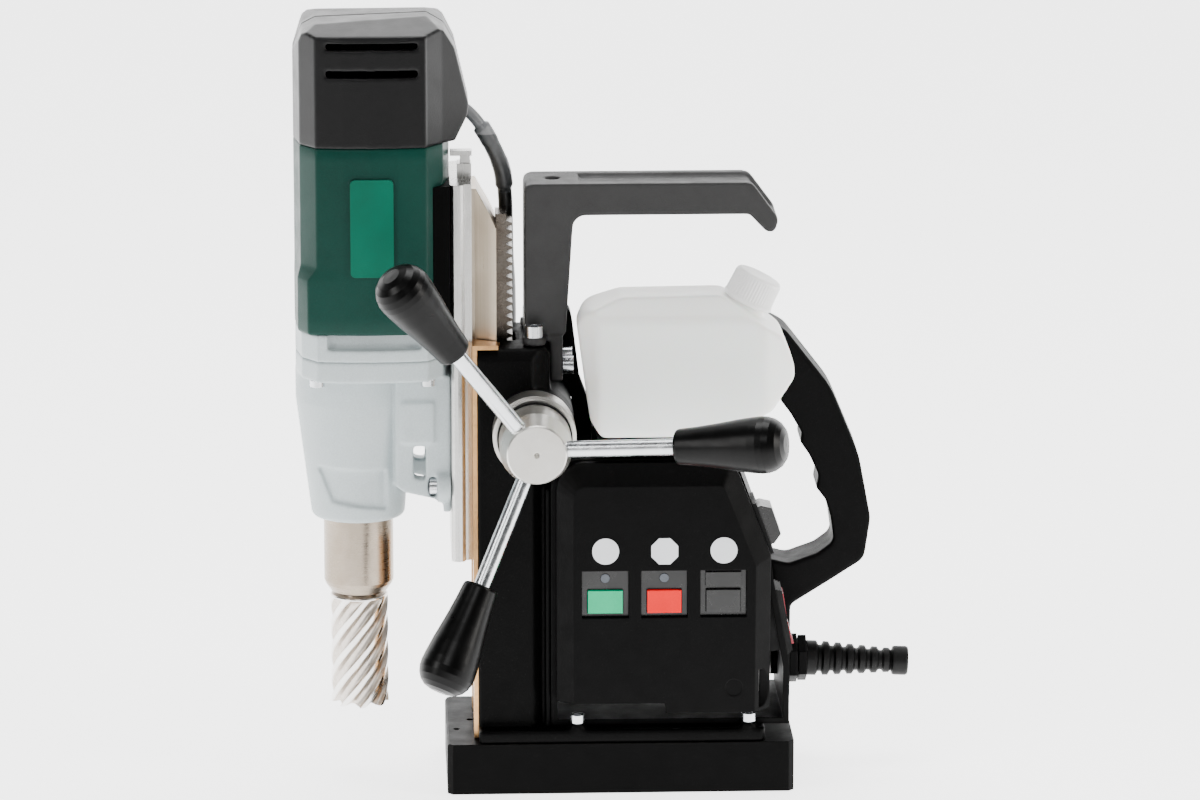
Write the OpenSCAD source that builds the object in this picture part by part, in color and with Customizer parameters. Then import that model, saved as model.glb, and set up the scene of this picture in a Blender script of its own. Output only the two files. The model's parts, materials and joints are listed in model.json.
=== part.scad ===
// Magnetic drill press: motor unit on a dovetail slide, rack feed with three levers,
// electromagnet foot. Millimetres. +X runs from the cutter side to the cable side,
// +Y away from the control panel, +Z up. Origin: centre of the magnet's sole.

/* [Magnet foot] */
// Length of the magnet block
base_l = 168; // [164:1:176]
// Width of the magnet block
base_w = 84; // [84:1:92]
// Depth of the groove that holds the magnet winding
coil_groove = 18; // [14:1:19]
// Bevel on the vertical corners of the block
base_bevel = 2.6; // [1:0.2:4]
// Radius of the two tapped holes for the chip guard
guard_hole_r = 1.65; // [1.25:0.05:2.1]

/* [Slide] */
// Running clearance between slide and gibs
run = 0.05; // [0.02:0.01:0.08]
// Length of the slide rail
rail_l = 185; // [175:1:186]

/* [Feed] */
// Distance from hub axis to the end of a lever knob
lever_l = 124; // [105:1:126]
// Radius of the lever rods
rod_r = 4; // [3.5:0.25:4.5]
// Angle that the levers lean out from the machine
rake = 20; // [12:1:24]
// Angle of the first lever above level
lever_a = 6; // [-50:1:60]

/* [Drill unit] */
// Diameter of the core cutter
cutter_d = 28; // [22:1:30]
// Flute length of the core cutter
cutter_l = 55; // [30:1:56]
// Number of cutter flutes
flutes = 8; // [6:1:10]
// Wall of the plastic top cover, as a share of its size
cap_wall = 0.07; // [0.05:0.01:0.08]

/* [Handles and bottle] */
// Width of the carry handle
carry_w = 32; // [28:1:34]
// Width of the rear handle
rear_w = 26; // [20:1:28]
// Wall of the coolant bottle, as a share of its size
bottle_wall = 0.05; // [0.03:0.01:0.08]
// Thread pitch of the bottle cap's neck lip, used for its height
cap_h = 15; // [14:0.5:16]

/* [Hidden] */
$fn = 64;

// ---- axes and levels ----
bh = 25;            // top of the magnet block
ft = 31.5;          // top of the casting's foot
ct = 218.5;         // top of the column
fx = -41.6; fz = 179;   // feed shaft axis
sx = -126;          // spindle axis
mx = -118.2;        // motor axis
lx = -114.705; ly = 18.88;  // layshaft axis
zt = 227.8; zm = 214.7; zb = 204.5;  // gearbox flange levels
mt = 318.4;           // top of the motor housing
hy = 18;            // middle of the rear handle and cable gland

// ---- helpers ----
function unit(v) = v / norm(v);
function corner(a, b, c, r, n) = let(u = unit(a - b), v = unit(c - b),
    h = acos(max(-1, min(1, u * v))) / 2, p = b + u * (r / tan(h)), q = b + v * (r / tan(h)),
    o = b + unit(u + v) * (r / sin(h)), a0 = atan2(p[1] - o[1], p[0] - o[0]),
    d = atan2(q[1] - o[1], q[0] - o[0]) - a0, dd = d > 180 ? d - 360 : d < -180 ? d + 360 : d)
    [for (i = [0:n]) o + r * [cos(a0 + dd * i / n), sin(a0 + dd * i / n)]];
// polygon points with a radius at each corner: [x, y, r]
function rp(P, n = 5) = let(k = len(P)) [for (i = [0:k - 1]) each
    P[i][2] < 0.05 ? [[P[i][0], P[i][1]]] :
    corner([P[(i + k - 1) % k][0], P[(i + k - 1) % k][1]], [P[i][0], P[i][1]],
           [P[(i + 1) % k][0], P[(i + 1) % k][1]], P[i][2], n)];
module exy(y0, y1) translate([0, y1, 0]) rotate([90, 0, 0]) linear_extrude(y1 - y0) children();
module exx(x0, x1) translate([x0, 0, 0]) rotate([90, 0, 90]) linear_extrude(x1 - x0) children();
module exz(z0, z1) translate([0, 0, z0]) linear_extrude(z1 - z0) children();
module box(a, b) translate(a) cube(b - a);
module cyly(x, z, y0, y1, r) translate([x, y1, z]) rotate([90, 0, 0]) cylinder(h = y1 - y0, r = r);
module cylx(y, z, x0, x1, r) translate([x0, y, z]) rotate([0, 90, 0]) cylinder(h = x1 - x0, r = r);
module cylz(x, y, z0, z1, r) translate([x, y, z0]) cylinder(h = z1 - z0, r = r);
// socket head screw, head up +Z, seat at z = 0
module cap_screw(r, hr, hh, l) difference() {
  union() { cylinder(h = hh, r = hr); translate([0, 0, -l]) cylinder(h = l + 0.1, r = r); }
  translate([0, 0, hh * 0.45]) cylinder(h = hh, r = hr * 0.55, $fn = 6);
}
// involute gear outline
function inv(a) = tan(a) * 180 / PI - a;
function gear(m, z, pa, bl, ad, de, n = 4) = let(rp0 = m * z / 2, rb = rp0 * cos(pa),
    ra = rp0 + ad * m, rf = rp0 - de * m, s0 = max(rb * 1.001, rf),
    hp = 90 / z - bl / 2 / rp0 * 180 / PI)
  [for (i = [0:z - 1]) each concat(
    [[rf * cos(360 / z * i - hp - inv(pa)), rf * sin(360 / z * i - hp - inv(pa))]],
    [for (j = [0:n]) let(r = s0 + (ra - s0) * j / n, w = hp + inv(pa) - inv(acos(rb / r)))
      [r * cos(360 / z * i - w), r * sin(360 / z * i - w)]],
    [for (j = [n:-1:0]) let(r = s0 + (ra - s0) * j / n, w = hp + inv(pa) - inv(acos(rb / r)))
      [r * cos(360 / z * i + w), r * sin(360 / z * i + w)]],
    [[rf * cos(360 / z * i + hp + inv(pa)), rf * sin(360 / z * i + hp + inv(pa))]])];

// ================= magnet foot =================
module magnet_base() color("#17181a") difference() {
  exz(0, bh) polygon(rp([[-base_l/2, -base_w/2, 0], [base_l/2, -base_w/2, 0],
    [base_l/2, base_w/2, 0], [-base_l/2, base_w/2, 0]]));
  for (sa = [-1, 1], sb = [-1, 1]) translate([sa * base_l/2, sb * base_w/2, -1])
    rotate([0, 0, 45]) cube([base_bevel * 1.414, base_bevel * 1.414, 60], center = true);
  exy(-60, 60) polygon([[-base_l/2 - 1, bh - 2], [-base_l/2 - 1, bh + 1], [-base_l/2 + 2, bh + 1]]);
  difference() {
    box([-56, -26, -1], [56, 26, coil_groove]);
    box([-38, -9, -2], [38, 9, coil_groove + 1]);
  }
  for (x = [-21, 62], y = [-38, 38]) cylz(x, y, 8, bh + 1, 2);
  cylz(-72.4, 1.3, 13, bh + 1, guard_hole_r);
  cylz(-79.2, -14.7, 13, bh + 1, guard_hole_r);
}
module magnet_coil() color("#b5651d") difference() {
  exz(6.5, coil_groove - 0.5) polygon(rp([[-55.5, -25.5, 6], [55.5, -25.5, 6], [55.5, 25.5, 6], [-55.5, 25.5, 6]]));
  box([-38.5, -9.5, 0], [38.5, 9.5, 30]);
}
module coil_potting() color("#2b2b2b") difference() {
  box([-56, -26, 0.2], [56, 26, 6.5]);
  box([-38, -9, -1], [38, 9, 8]);
}

// ================= column =================
chan = [[-80, 16.6], [-68.6, 16.6], [-57.6, 22.9], [-57.6, 9.2], [-49.4, 9.2],
  [-49.4, -9.2], [-57.6, -9.2], [-57.6, -22.9], [-68.6, -16.6], [-80, -16.6]];
module column() color("#1b1b1c") difference() {
  union() {
    difference() {
      exz(ft, ct) polygon([[-68.6, -33], [-42.4, -33], [-36, -27], [-33.5, -26], [-33.5, 26],
        [-36, 27], [-42.4, 33], [-68.6, 33]]);
      // sloped top edges
      exx(-80, -20) polygon([[-28.5, ct + 1], [-34, ct - 5.5], [-34, ct + 1]]);
      exx(-80, -20) polygon([[28.5, ct + 1], [34, ct - 5.5], [34, ct + 1]]);
      exy(-40, 40) polygon([[-37.5, ct + 1], [-32, ct - 5], [-32, ct + 1]]);
    }
    cyly(fx, fz, -33, 33, 20);
    exz(bh, ft) polygon(rp([[-68.6, -41.6, 0], [70, -41.6, 3], [70, 41.6, 3], [-68.6, 41.6, 0]]));
    for (x = [-21, 62], y = [-38, 38]) cylz(x, y, ft - 1, 34.8, 3.6);
    // flared skirt at the foot of the casting
    exy(-33, 33) polygon([[-36, ft - 1], [-33.5, ft - 1], [-33.5, 150], [-36, 150]]);
  }
  exz(20, 260) polygon(chan);
  cyly(fx, fz, -60, 60, 12.4);
  for (x = [-21, 62], y = [-38, 38]) cylz(x, y, 20, 40, 2.2);
  for (z = [60, 110, 160, 205]) cyly(-63, z, 10, 40, 2.1);
  for (y = [-21, 21]) cylz(-41, y, 200, 230, 2.5);
  for (y = [-10, 10]) cylx(y, 206, -48, -20, 2.5);
}
gib = [[-70.8, 31.5], [-70.8, 15.6], [-69.2, 15.6], [-59.3, 21.27], [-57.6, 21.27], [-57.6, 22.9],
  [-68.6, 16.6], [-68.6, 31.5]];
module gib_strips() color("#c98a3c") {
  for (s = [1, -1]) exz(bh + 0.2, ct + 1.5) polygon([for (p = gib) [p[0], s * p[1]]]);
  for (s = [1, -1]) exz(ct, ct + 2.2) polygon([for (p = [[-70.8, 17], [-59.5, 23], [-58.5, 24],
    [-58.5, 31.5], [-70.8, 31.5]]) [p[0], s * p[1] ]]);
}
module gib_screws() color("#8f9297") for (z = [60, 110, 160, 205]) difference() {
  cyly(-63, z, 19.9, 32.6, 2.1);
  translate([-63, 34, z]) rotate([90, 0, 0]) cylinder(h = 4, r = 1.2, $fn = 6);
  exz(0, 250) polygon([[-80, 0], [-80, 12], [-68.6, 16.6], [-57.6, 22.9], [-50, 27.2], [-50, 0]]);
}
module foot_screws() color("#b9bcc0") for (x = [-21, 62], y = [-38, 38])
  translate([x, y, 34.8]) cap_screw(1.98, 3.5, 4, 24);
module feed_bushes() color("#b58a4a") {
  difference() { cyly(fx, fz, -46, -10, 12.4); cyly(fx, fz, -60, 0, 8 + run); }
  difference() { cyly(fx, fz, 10, 32, 12.4); cyly(fx, fz, 0, 60, 8 + run); }
}
module feed_flange() color("#8d8a83") difference() {
  union() { cyly(fx, fz, -46, -33, 20); cyly(fx, fz, -48, -46, 18.8); }
  cyly(fx, fz, -47, -20, 12.4);
  cyly(fx, fz, -50, -20, 9);
}
module feed_seal() color("#101010") difference() {
  cyly(fx, fz, -50.6, -48, 18); cyly(fx, fz, -60, -40, 8.3);
}

// ================= feed =================
module feed_shaft() color("#a7abb0") union() {
  cyly(fx, fz, -66, -9, 8);
  translate([fx, 9, fz]) rotate([90, 0, 0]) linear_extrude(18)
    polygon([for (p = gear(1.25, 17, 20, 0.18, 1, 1.25)) [-p[0], p[1]]]);
  cyly(fx, fz, 9, 31, 8);
}
module feed_hub() color("#c9cccf") difference() {
  union() {
    translate([fx, -82, fz]) rotate([-90, 0, 0]) cylinder(h = 0.8, r1 = 13.6, r2 = 14.3);
    translate([fx, -81.2, fz]) rotate([-90, 0, 0]) cylinder(h = 12.2, r1 = 14.3, r2 = 17.3);
    cyly(fx, fz, -69, -51, 17.3);
  }
  cyly(fx, fz, -66, -40, 8);
  translate([fx, -82.1, fz]) rotate([-90, 0, 0]) cylinder(h = 1.6, r1 = 1.5, r2 = 0.3);
  for (i = [0:2]) lever(i) translate([0, 0, 9]) cylinder(h = 30, r = rod_r);
}
// places children on a lever axis, +Z outwards along the lever
module lever(i) translate([fx, -71, fz]) rotate([0, -(lever_a + 120 * i), 0])
  rotate([0, 0, -rake]) rotate([0, 90, 0]) children();
module lever_rods() color("#c6cbd0") for (i = [0:2]) lever(i) {
  translate([0, 0, 9]) cylinder(h = lever_l - 54 + 8 - 9, r = rod_r);
}
module lever_knobs() color("#0f0f10") for (i = [0:2]) lever(i) translate([0, 0, lever_l - 54])
  difference() {
    rotate_extrude() polygon([[0, 0], [7.2, 0], [8.1, 0.5], [8.5, 1.5], [9.3, 10], [10.6, 20],
      [12.2, 30], [13.2, 38], [13.5, 42], [13.3, 45], [12.4, 48], [10.6, 50.8], [8, 52.8],
      [4.5, 53.8], [0, 54]]);
    translate([0, 0, -1]) cylinder(h = 14, r = rod_r);
  }

// ================= carry handle =================
module carry_handle() color("#2e2e30") difference() {
  union() {
    exy(-carry_w/2, carry_w/2) polygon(rp([[-45.3, 222.5, 0], [-45.3, 296, 3.5], [63.5, 296, 5],
      [76.8, 278, 5], [74.5, 270.6, 3], [70, 272.4, 1.5], [62.5, 280.4, 2], [-21.8, 280.4, 6],
      [-25.6, 222.5, 0]], 6));
    exy(-15, 15) polygon([[-45.3, ct], [-45.3, 222.6], [-27, 222.6], [-27, 198.5], [-33.5, 198.5], [-33.5, ct]]);
    for (s = [-1, 1]) { cylz(-41, s * 21, ct, 222.5, 5.8);
      translate([-45.3, s > 0 ? 15 : -21, ct]) cube([10.1, 6, 4]); }
  }
  exy(-10, 10) polygon([[-19, 299], [-19, 294.2], [62.5, 294.2], [73.5, 279.3], [85, 279.3], [85, 299]]);
  cylz(-31.5, 0, 284, 300, 1.9);
  cylz(-31.5, 0, 293, 300, 3.6);
  for (y = [-21, 21]) cylz(-41, y, 200, 230, 2.6);
  for (y = [-10, 10]) cylx(y, 206, -60, -10, 2.6);
}
module handle_screws() color("#b9bcc0") {
  for (y = [-21, 21]) translate([-41, y, 222.5]) cap_screw(2.5, 4.4, 5.6, 19);
  for (y = [-10, 10]) translate([-27, y, 206]) rotate([0, 90, 0]) cap_screw(2.5, 4.3, 5.2, 18);
}

// ================= coolant bottle =================
module bottle_bracket() color("#141414") difference() {
  union() {
    exy(17, 28) polygon(rp([[-33.5, 164.5, 0], [-33.5, 229, 0], [-23, 229, 5], [-21.4, 222, 2],
      [-17.8, 193, 3], [-13, 180, 4], [-6, 175.6, 3], [0, 175.6, 0], [0, 164.5, 0]]));
    box([-13, -12, 164.5], [46, 28, 175.6]);
    box([-11, -38, 172.6], [44, -11.9, 175.6]);
  }
  cyly(fx, fz, -60, 60, 20.1);
  box([6, 4.8, 160], [43.6, 31.2, 190]);
}
// outline of the bottle seen from the control side
bo = rp([[-9, 176, 3], [45, 176, 5], [73, 188.5, 6], [84, 203, 5], [83.5, 210, 3], [77.5, 225, 6],
  [49, 243.8, 6], [0, 243, 6], [-17, 236.4, 5], [-20.6, 229, 4], [-14.6, 184, 4]], 4);
module bottle_form() intersection() {
  exy(-40, 3) polygon(bo);
  exx(-40, 100) polygon(rp([[-40, 178, 2], [-38, 175.5, 2], [1, 175.5, 2], [3, 178, 2], [3, 236, 3],
    [-5, 245, 4], [-26, 245, 4], [-40, 234.5, 4]]));
  exz(170, 250) polygon(rp([[-21, -27, 3], [-11, -40, 3], [70, -40, 3], [85, -29, 4], [85, -6, 4],
    [74, 3, 4], [-12, 3, 4], [-21, -6, 4]]));
}
module at_neck() translate([61, -18.5, 238]) rotate([0, 26, 0]) children();
module coolant_bottle() color("#dedbd2") difference() {
  union() { bottle_form(); at_neck() translate([0, 0, -8]) cylinder(h = 19.5, r = 9.6); }
  translate([32, -18.5, 210]) scale(1 - bottle_wall) translate([-32, 18.5, -210]) bottle_form();
  at_neck() translate([0, 0, -12]) cylinder(h = 40, r = 7.6);
}
module bottle_cap() color("#eeeeec") at_neck() difference() {
  rotate_extrude() polygon([[0, 0.6], [12.4, 0.6], [12.4, 3], [11.8, cap_h - 1.2], [11, cap_h], [0, cap_h]]);
  translate([0, 0, -1]) cylinder(h = cap_h - 1, r = 9.95);
}
module cap_liner() color("#d8d8d4") at_neck() translate([0, 0, 11.7]) cylinder(h = 1, r = 9.4);

// ================= control housing =================
ho = rp([[-33.5, 31.5, 0], [82, 31.5, 0], [82, 60, 2], [74, 104, 4], [72.5, 117, 4], [58, 157, 3],
  [54, 164.5, 3], [-33.5, 164.5, 14]]);
hi = rp([[-30.5, 34.5, 0], [79, 34.5, 0], [79, 60, 2], [71, 104, 2], [69.4, 116.4, 3],
  [55.4, 155, 2], [52, 161.5, 2], [-30.5, 161.5, 12]]);
a1 = -19.93; a2 = -10.3;   // lean of the two switch faces
module face1() translate([68.35, -20, 128.5]) rotate([0, a1, 0]) children();
module face2() translate([78, -22, 82]) rotate([0, a2, 0]) children();
module control_housing() color("#1b1b1c") difference() {
  exy(-33, 33) polygon(ho);
  exy(-34, 34) polygon(hi);
  face1() box([-6, -8.7, -11.7], [6, 8.7, 11.7]);
  face2() box([-6, -7.2, -14.2], [6, 7.2, 14.2]);
  cylx(hy, 50, 70, 90, 8);
}
po = rp([[-31, 40.6, 0], [72, 40.6, 2], [72.4, 117, 4], [57, 157, 3], [53, 164, 4], [-31, 164, 13]]);
pi = rp([[-23, 40.6, 0], [64.5, 40.6, 0], [64.8, 113.5, 2], [49, 153.6, 3], [-23, 153.6, 6]]);
wells = [[-19.1, 3.7], [9.5, 32], [38, 60.4]];
module front_panel() color("#161617") difference() {
  union() {
    exy(-38, -33) polygon(po);
    hull() { exy(-38.1, -38) polygon(po); exy(-44, -43.9) polygon(pi); }
  }
  box([-40, -50, 30], [21.5, -30, 45.5]);
  exy(-41, -32) polygon(rp([[-26, 48, 2], [67, 48, 2], [67, 116, 2], [53, 153, 2], [47, 157, 2], [-26, 157, 10]]));
  for (w = wells) box([w[0], -50, 88.4], [w[1], -30, 111.8]);
  exx(66.5, 80) polygon([for (i = [0:23]) [-41.5 + 3.2 * cos(15 * i), 52 + 9.6 * sin(15 * i)]]);
  cyly(54.5, 53, -44.2, -43.7, 4.3);
}
module rear_cover() color("#1b1b1c") difference() {
  exy(33, 36) polygon(rp([[-32, 41, 2], [80, 41, 2], [80, 60, 2], [72, 104, 3], [70, 117, 3], [56, 156, 3],
    [52, 162.5, 3], [-32, 162.5, 13]]));
  for (i = [0:6]) box([0, 30, 70 + 6 * i], [50, 40, 72.4 + 6 * i]);
  for (p = [[-24, 48], [72, 48], [-24, 140], [48, 152]]) cyly(p[0], p[1], 30, 40, 1.7);
  cyly(-8, 140, 30, 40, 5.5);
}
module cover_screws() color("#8f9297") for (p = [[-24, 48], [72, 48], [-24, 140], [48, 152]])
  translate([p[0], 36, p[1]]) rotate([-90, 0, 0]) cap_screw(1.65, 3, 2.4, 5);
module panel_symbols() color("#eceef2") {
  cyly(-7.6, 121.7, -44.3, -44, 6.45);
  translate([20.8, -44, 121.5]) rotate([90, 0, 0]) rotate([0, 0, 22.5]) cylinder(h = 0.3, r = 7, $fn = 8);
  cyly(49.3, 121.7, -44.3, -44, 6.45);
}
module switch_modules() color("#0e0e0f") for (i = [0:2]) difference() {
  union() {
    box([wells[i][0] + 0.1, -41.2, 88.5], [wells[i][1] - 0.1, -24, 111.7]);
    if (i == 2) box([wells[i][0] + 2.6, -43, 103.4], [wells[i][1] - 2.6, -41, 110.6]);
  }
  box([wells[i][0] + 2.8, -50, 90.4], [wells[i][1] - 2.8, -33, 102]);
  if (i < 2) cyly((wells[i][0] + wells[i][1]) / 2, 107.6, -50, -38, 2.25);
}
module status_leds() color("#47555a") for (i = [0:1]) {
  cyly((wells[i][0] + wells[i][1]) / 2, 107.6, -41.6, -38, 2.2);
}
module button_form(i) {
  box([wells[i][0] + 3, -43.2, 90.6], [wells[i][1] - 3, -36, 101.8]);
}
module green_button() color("#2ec58a") button_form(0);
module red_button() color("#e23a3a") button_form(1);
module black_button() color("#121213") button_form(2);
module circuit_board() color("#1d5c3a") {
  box([-22, -16, 50], [50, -14.4, 148]);
  box([-10, -14.4, 60], [14, 12, 96]);
  box([22, -14.4, 60], [50, 2, 76]);
  for (x = [-10, 8, 26]) cyly(x, 125, -14.4, 6, 7);
}
module bezel_side() face2() difference() {
  union() {
    box([0, -9.5, -16.5], [1.1, 9.5, 16.5]);
    box([1, -8.9, -15.9], [2.1, 8.9, 15.9]);
    box([2, -8.3, -15.3], [3.1, 8.3, 15.3]);
    box([-14, -7.2, -14.2], [0.1, 7.2, 14.2]);
  }
  box([-9, -6.2, -13.4], [6, 6.2, 13.4]);
  cyly(0, 0, -7, 7, 1.3);
}
module bezel_top() face1() difference() {
  union() {
    box([0, -11, -13.3], [1.6, 11, 13.3]);
    box([-14, -8.7, -11.7], [0.1, 8.7, 11.7]);
  }
  box([-9, -7.7, -10.9], [6, 7.7, 10.9]);
  cyly(0, 0, -8.4, 8.4, 1.3);
}
module switch_bezels() color("#131313") { bezel_side(); bezel_top(); }
module magnet_rocker() color("#c2213f") face2() {
  exy(-6, 6) polygon([[-4, -2], [-4, 2], [-0.5, 12.9], [3.6, 13], [3.1, 0], [4.3, -12.6], [0, -12.6]]);
  cyly(0, 0, -6.9, 6.9, 1.2);
}
module top_rocker() color("#1d1d1e") face1() {
  exy(-7.5, 7.5) polygon([[-4, -2], [-4, 2], [0.5, 10.2], [3.4, 10.2], [8, 7.2], [7.8, -6.4], [3.3, -9.6], [0.5, -9.6]]);
  cyly(0, 0, -8.3, 8.3, 1.2);
}

// ================= rear handle and cable gland =================
module rear_handle() color("#1a1a1b") difference() {
  exy(hy - rear_w/2, hy + rear_w/2) polygon(rp([[8, 164.5, 0], [8, 214, 12], [24, 231, 14], [58, 232, 16],
    [82, 218.5, 14], [104, 190, 40], [118, 156, 50], [124, 124, 12], [121, 103.5, 8], [104, 92.5, 14],
    [85, 80.5, 4], [85, 33, 1], [82, 33, 0], [82, 60, 0], [74, 104, 0], [84, 101.5, 6], [98, 106.5, 8],
    [106, 112.5, 5], [104.3, 125, 6], [101.8, 133.5, 2], [97.2, 139.5, 1.5], [98.3, 146, 2],
    [93.8, 156, 2], [89.3, 162.5, 1.5], [89.8, 167.5, 2], [84.3, 177, 2], [79.6, 183.3, 1.5],
    [78, 190, 3], [67, 202, 8],
    [52, 208.5, 10], [42, 200, 8], [42, 164.5, 0]], 5));
  cylx(hy, 50, 70, 90, 8);
}
module gland_nut() color("#131313") difference() {
  union() {
    translate([85, hy, 50]) rotate([0, 90, 0]) cylinder(h = 4, r = 12.4, $fn = 6);
    cylx(hy, 50, 76, 93.5, 7.9);
    translate([89.6, hy, 50]) rotate([0, 90, 0]) cylinder(h = 4, r = 11.6, $fn = 6);
  }
  cylx(hy, 50, 70, 100, 4);
}
module strain_relief() color("#141414") translate([93.5, hy, 50]) rotate([0, 92.5, 0]) difference() {
  rotate_extrude() polygon(concat([[0, 0.4], [8.6, 0.4], [8.6, 5]],
    [for (i = [0:5]) each [[6.6 - 0.35 * i, 6.2 + 6 * i], [6.6 - 0.35 * i, 7.6 + 6 * i],
      [8.4 - 0.45 * i, 8.6 + 6 * i], [8.3 - 0.45 * i, 11 + 6 * i]]],
    [[4.9, 42.2], [6.9, 43], [7.2, 44], [7.2, 49.5], [6.6, 50.4], [0, 50.4]]));
  translate([0, 0, -2]) cylinder(h = 60, r = 3.7);
}
module lead_grommet() color("#101010") difference() {
  union() { cyly(-8, 140, 33.2, 36, 5.5); cyly(-8, 140, 36, 38.4, 7.2); }
  cyly(-8, 140, 30, 45, 3.8);
}
// motor lead: route from the top cover to the grommet
lead = [[-78, 0, 333], [-72, 0, 329], [-66, 0.5, 322], [-60, 3, 311], [-55.5, 7, 299], [-54, 11, 286],
  [-53.5, 13.5, 272], [-53, 19, 254], [-52, 28, 238], [-51.5, 37, 224], [-51, 43.5, 207], [-47, 49, 190],
  [-39, 53, 174], [-29, 55.5, 160.5], [-19.5, 55.5, 150.5], [-12.5, 52.5, 144.2], [-9, 47, 141], [-8, 40.5, 140], [-8, 33, 140]];
function cr(a, b, c, d, t) = 0.5 * (2 * b + (c - a) * t + (2 * a - 5 * b + 4 * c - d) * t * t + (3 * b - a - 3 * c + d) * t * t * t);
function smooth(P, k) = let(n = len(P)) concat([for (i = [0:n - 2], j = [0:k - 1])
  cr(P[max(i - 1, 0)], P[i], P[i + 1], P[min(i + 2, n - 1)], j / k)], [P[n - 1]]);
module tube(P, R, m) {
  n = len(P);
  T = [for (i = [0:n - 1]) unit(P[min(i + 1, n - 1)] - P[max(i - 1, 0)])];
  pts = [for (i = [0:n - 1]) let(a = unit(cross(T[i], [0.3, 1, 0.2])), b = cross(T[i], a))
    for (j = [0:m - 1]) P[i] + R[i] * (a * cos(360 * j / m) + b * sin(360 * j / m))];
  polyhedron(pts, concat([[for (j = [0:m - 1]) j]], [[for (j = [m - 1:-1:0]) (n - 1) * m + j]],
    [for (i = [0:n - 2], j = [0:m - 1]) [i * m + j, (i + 1) * m + j, (i + 1) * m + (j + 1) % m, i * m + (j + 1) % m]]));
}
module motor_lead() color("#141414") {
  S = smooth(lead, 3);
  tube(S, [for (i = [0:len(S) - 1]) i < 7 ? 3.2 : i < 14 ? 4.4 : 3.6], 10);
}

// ================= carriage =================
rb0 = 298.5 - rail_l;   // lower end of the rail
module slide_rail() color("#b3b1ac") exz(rb0, 298.5)
  polygon(concat([[-70.85, 26], [-70.85, -26], [-74.3, -26.8]],
    [for (i = [0:6]) [-77.75 + 3.45 * cos(-30 * i), -27 + 3.45 * sin(-30 * i)]],
    [for (i = [0:6]) [-77.75 + 3.45 * cos(180 - 30 * i), 27 + 3.45 * sin(180 - 30 * i)]],
    [[-74.3, 26.8]]));
module slide_dovetail() color("#b8a387") difference() {
  exz(rb0, 294) polygon([[-70.85, 15.6 - run], [-69.2, 15.6 - run], [-59.35, 21.27 - run], [-59, 21.1 - run],
    [-59, -21.1 + run], [-59.35, -21.27 + run], [-69.2, -15.6 + run], [-70.85, -15.6 + run]]);
  exy(-40, 40) polygon([[-69, 295], [-62, 282], [-58, 273], [-50, 273], [-50, 295]]);
}
module rack() color("#6b655c") {
  tp = PI * 1.25;
  exy(-8, 8) polygon(concat([[-59, 114], [-59, 280]], [[-53.8, 280]],
    [for (k = [25:-1:-17]) each let(z = fz + (k + 0.5) * tp, w = tp / 4 - 0.09) z > 115 && z < 278.5 ?
      [[-53.75, z + w + 1.55 * tan(20)], [-50.95, z + w - 1.25 * tan(20)],
       [-50.95, z - w + 1.25 * tan(20)], [-53.75, z - w - 1.55 * tan(20)]] : []], [[-53.8, 114]]));
}
module stop_plate() color("#a9abad") {
  box([-77.4, -14, 298.5], [-70.6, -4, 306]);
  box([-76, -13, 305.9], [-71.2, -8.5, 310]);
  box([-80.8, -14.5, 309.9], [-70.4, -8, 312.2]);
}
MP = [[-26.2, -38], [-13, -39.7], [0, -40.3], [13, -39.7], [26.2, -38], [34, -26.7], [37.1, -8.2],
  [37.1, 8.2], [34, 26.7], [26.2, 38], [13, 39.7], [0, 40.3], [-13, 39.7], [-26.2, 38], [-34, 26.7],
  [-37.1, 8.2], [-37.1, -8.2], [-34, -26.7]];
mcx = -118.4;
module mplan(k = 1) polygon([for (p = MP) [mcx + p[0] * k, p[1] * k]]);
module motor_housing() color("#0b4f41") difference() {
  exz(zt, mt) mplan();
  exz(zt - 1, mt + 1) mplan(0.915);
  for (z = [236, 242, 248]) for (s = [-1, 1]) box([mcx - 12, s > 0 ? 30 : -50, z], [mcx - 11.9, s > 0 ? 50 : -30, z + 0.1]);
}
module badge_plate() color("#0e7a58") difference() {
  exy(-41.2, -39.4) polygon(rp([[-128.6, 256.5, 2.4], [-108, 256.5, 2.4], [-108, 303.8, 2.4], [-128.6, 303.8, 2.4]]));
  exz(zt, mt) mplan();
}
// top cover outline from the control side
co = [[-155.5, mt], [-155.5, 361], [-151, 372], [-144.5, 375.3], [-91.5, 377.3], [-83.5, 372.5],
  [-78.3, 363], [-71.7, 335], [-72.3, 329.5], [-78.4, mt]];
module cap_form() intersection() {
  exy(-41, 41) polygon(co);
  exx(-160, -60) polygon([[-41, mt], [-41, 367], [-38, 371.9], [-12, 377.3], [12, 377.3], [38, 371.9], [41, 367], [41, mt]]);
  exz(mt - 1, 380) polygon([for (p = concat([for (q = MP) if (q[0] < 30) q])) [mcx + p[0], p[1]]]);
}
module cap_back() intersection() {
  exy(-41, 41) polygon(co);
  exx(-160, -60) polygon([[-41, mt], [-41, 367], [-38, 371.9], [-12, 377.3], [12, 377.3], [38, 371.9], [41, 367], [41, mt]]);
  exz(mt - 1, 380) polygon([[-93, -38.4], [-84.4, -26.7], [-71.5, -13], [-71.5, 13], [-84.4, 26.7], [-93, 38.4]]);
}
module cap_shell() difference() {
  union() { cap_form(); cap_back(); }
  translate([-116, 0, 338]) scale(1 - cap_wall) translate([116, 0, -338]) union() { cap_form(); cap_back(); }
  exz(mt - 1, 330) polygon([for (p = MP) [mcx + p[0] * 0.915, p[1] * 0.915]]);
  for (z = [352.6, 365.6]) box([-139.6, -50, z], [-96, 50, z + 3.2]);
  translate([-78, 0, 333]) rotate([0, 124, 0]) cylinder(h = 20, r = 3.6, center = true);
}
module cap_near() color("#3a3a3c") intersection() { cap_shell(); box([-200, -60, 300], [0, -0.05, 400]); }
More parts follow.
